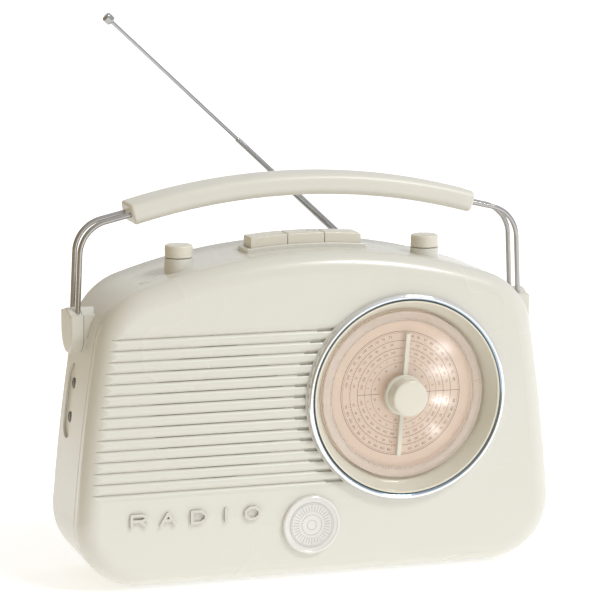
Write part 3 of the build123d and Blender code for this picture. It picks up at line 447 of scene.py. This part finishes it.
# each wire rises from its boss, turns at the bend and runs into the grip
wire_path = ((136.8, 145.2), (134.0, 207.0), (85.0, 218.5))
shape = bmesh.new()
for side in (-1, 1):
    for depth in (-1, 1):
        points = [(side * x, WIRES_Y + depth * WIRES_FROM_MIDDLE, z) for x, z in wire_path]
        add_tube(shape, bend(points, WIRE_BEND), WIRE_R, 24)
to_object("wire_bends", shape, wire_chrome, "handle", "chrome_wire", "handle_wires")

# the aerial's elbow in mm, and the angle of its tubes above the X axis
pivot = Vector((85.7, 44.5, 145.1))
lean = radians(137.1)
along = Vector((cos(lean), 0, sin(lean)))
aerial_turn = Matrix(((0, along.z, along.x), (1, 0, 0), (0, -along.x, along.z))).to_4x4()
aerial_place = Matrix.Translation(pivot * MM) @ aerial_turn
base_tube = [(0, 8), (2.18, 8), (2.18, 121.4), (1.95, 122), (1.68, 122), (1.68, 9.5), (0, 9.5)]
mid_tube = [(0, 45.7), (1.6, 45.7), (1.6, 155.2), (1.4, 155.7), (1.17, 155.7), (1.17, 46.9), (0, 46.9)]
tip_rod = [(0, 147.6), (1.1, 147.6), (1.1, 259.6), (0, 259.6)]
for node, body, outline in (
    ("aerial_base_tube", "aerial_base", base_tube),
    ("aerial_mid_tube", "aerial_middle", mid_tube),
    ("aerial_tip_rod", "aerial_end", tip_rod),
):
    shape = bmesh.new()
    add_lathe(shape, outline, aerial_place, 32)
    to_object(node + "_turned", shape, aerial_chrome, body, "aerial_chrome", node)

# ---------------------------------------------------------------- small moulded mark by the volume knob

arch_centre_z = FOOT_H + CASE_H - ARCH_R


def arch_z(x):
    """The height of the case's arched top at this x, in mm."""
    return arch_centre_z + sqrt(ARCH_R**2 - x**2)


shape = bmesh.new()
mark = [(-92.0, -9.0), (-97.5, -9.6), (-102.0, -11.6), (-104.0, -13.4), (-102.6, -15.6), (-98.6, -17.4)]
add_tube(shape, [(x, y, arch_z(x) + 0.02) for x, y in mark], 0.16, 8)
to_object("volume_mark", shape, funnel_cream, "case", "case_cream")

# ---------------------------------------------------------------- socket panel

# it is curved like the side that it sits in, an arc from the case's base to its shoulder
shoulder_z = arch_centre_z + sqrt(ARCH_R**2 - SHOULDER_X**2)
chord = sqrt((BASE_HALF - SHOULDER_X) ** 2 + (shoulder_z - FOOT_H) ** 2)
reach = sqrt(SIDE_R**2 - (chord / 2) ** 2)
side_centre_x = (BASE_HALF + SHOULDER_X) / 2 - reach * (shoulder_z - FOOT_H) / chord
side_centre_z = (FOOT_H + shoulder_z) / 2 - reach * (BASE_HALF - SHOULDER_X) / chord


def side_x(z):
    """The x of the case's left side at this height, in mm."""
    return -(side_centre_x + sqrt(SIDE_R**2 - (z - side_centre_z) ** 2))


PANEL_R, PANEL_STRAIGHT = 8.6, 13.0  # its round ends, and half of the straight part between them
PANEL_FACE, PANEL_BACK = 1.5, 2.4  # how far its two faces lie below the side
SOCKETS_FROM_MIDDLE = 10.0
panel_half = PANEL_STRAIGHT + PANEL_R
columns, rows_up = 10, 40
grid = []
for i in range(rows_up + 1):
    z = PANEL_Z - panel_half + 2 * panel_half * i / rows_up
    over = max(abs(z - PANEL_Z) - PANEL_STRAIGHT, 0.0)
    half = sqrt(max(PANEL_R**2 - over**2, 0.02))
    grid.append([(PANEL_Y - half + 2 * half * j / columns, z) for j in range(columns + 1)])
shape = bmesh.new()
front, rear = (
    [[shape.verts.new(((side_x(z) + depth) * MM, y * MM, z * MM)) for y, z in line] for line in grid]
    for depth in (PANEL_FACE, PANEL_BACK)
)
for i in range(rows_up):
    for j in range(columns):
        shape.faces.new((front[i][j], front[i][j + 1], front[i + 1][j + 1], front[i + 1][j]))
        shape.faces.new((rear[i][j], rear[i + 1][j], rear[i + 1][j + 1], rear[i][j + 1]))
border = [(i, 0) for i in range(rows_up)] + [(rows_up, j) for j in range(columns)]
border += [(rows_up - i, columns) for i in range(rows_up)] + [(0, columns - j) for j in range(columns)]
for (i, j), (k, m) in zip(border, border[1:] + border[:1]):
    shape.faces.new((front[i][j], front[k][m], rear[k][m], rear[i][j]))
to_object("socket_plate", shape, knob_cream, "case", "case_cream", "socket_panel")
collar = [(1.8, -2.0), (1.8, 0.35), (2.1, 0.6), (2.9, 0.6), (3.3, 0.3), (3.4, -2.0)]
for z, name in ((PANEL_Z - SOCKETS_FROM_MIDDLE, "line_in"), (PANEL_Z + SOCKETS_FROM_MIDDLE, "earphone")):
    mouth = Matrix.Translation(((side_x(z) + PANEL_FACE) * MM, PANEL_Y * MM, z * MM))
    shape = bmesh.new()
    add_lathe(shape, collar, mouth @ Matrix.Rotation(radians(-90), 4, "Y"), 48)
    to_object(name + "_collar", shape, grey, "case", "dark_plastic")

# ---------------------------------------------------------------- studio


def rise_along_x(tree, position, low, high):
    """Goes smoothly from 0 to 1 while the position's x goes from low to high."""
    parts = tree.nodes.new("ShaderNodeSeparateXYZ")
    tree.links.new(position, parts.inputs[0])
    across = tree.nodes.new("ShaderNodeMapRange")
    across.interpolation_type = "SMOOTHSTEP"
    across.inputs["From Min"].default_value = low
    across.inputs["From Max"].default_value = high
    tree.links.new(parts.outputs[0], across.inputs["Value"])
    return across.outputs[0]


floor_mesh = bpy.data.meshes.new("floor")
shape = bmesh.new()
bmesh.ops.create_circle(shape, cap_ends=True, segments=64, radius=20)
shape.to_mesh(floor_mesh)
shape.free()
floor = bpy.data.objects.new("floor", floor_mesh)
scene.collection.objects.link(floor)
# the paper is warmer and dimmer to the left of the picture, which shades the case's side
PAPER = (0.94, 0.94, 0.94)
floor_look = surface("floor_paper", PAPER, 0.9, shade=0.99, cloud=3, grain=50)
tree = floor_look.node_tree
place = tree.nodes.new("ShaderNodeTexCoord")
lit = rise_along_x(tree, place.outputs["Object"], -0.44, -0.27)
paper_shader = tree.nodes["Principled BSDF"]
tree.links.new(blend_colors(tree, lit, (0.50, 0.42, 0.29), PAPER), paper_shader.inputs["Base Color"])
glow = blend_colors(tree, lit, (0.04, 0.03, 0.01), (0.42, 0.42, 0.42))
tree.links.new(glow, paper_shader.inputs["Emission Color"])
paper_shader.inputs["Emission Strength"].default_value = 1.0
floor_mesh.materials.append(floor_look)

# the room is dim and warm to the left, and bright and neutral to the right
world = bpy.data.worlds.new("world")
scene.world = world
world.use_nodes = True
tree = world.node_tree
place = tree.nodes.new("ShaderNodeTexCoord")
lit = rise_along_x(tree, place.outputs["Generated"], -0.95, 0.25)
sky = blend_colors(tree, lit, (0.52, 0.42, 0.26), (0.98, 0.99, 1.0))
tree.links.new(sky, tree.nodes["Background"].inputs["Color"])
tree.nodes["Background"].inputs["Strength"].default_value = 0.78

sun_data = bpy.data.lights.new("key", "SUN")
sun_data.energy = 1.18
sun_data.angle = radians(16)
sun = bpy.data.objects.new("key", sun_data)
scene.collection.objects.link(sun)
sun.rotation_euler = Vector((-0.44, 0.50, -0.76)).to_track_quat("-Z", "Y").to_euler()

# small bright strips low in front make the highlights in the right half of the clear cover. Each one lies
# where the line from the camera to its highlight, mirrored in the cover, comes down to the strips' height
STRIP_Z = 2.0
STRIP_GLOW = 14
cover_y = -LENS * MM
mirrored = Vector((camera.location.x, 2 * cover_y - camera.location.y, camera.location.z))
highlights_middle = Vector((0.0755, cover_y, 0.11))
# x and z of each highlight on the cover, then the width and depth of its strip, in mm
highlights = ((76.0, 131.1, 11, 9), (75.4, 118.2, 15, 6), (75.6, 100.5, 13, 6), (71.6, 83.2, 6, 5))
for x, z, width, depth in highlights:
    ray = Vector((x * MM, cover_y, z * MM)) - mirrored
    strip_data = bpy.data.lights.new("strip", "AREA")
    strip_data.shape = "RECTANGLE"
    strip_data.size = width * MM
    strip_data.size_y = depth * MM
    strip_data.energy = STRIP_GLOW * pi * width * depth * MM * MM
    strip = bpy.data.objects.new("strip", strip_data)
    scene.collection.objects.link(strip)
    strip.location = mirrored + ray * ((STRIP_Z * MM - mirrored.z) / ray.z)
    aim = highlights_middle - strip.location
    strip.rotation_euler = aim.to_track_quat("-Z", "Y").to_euler()
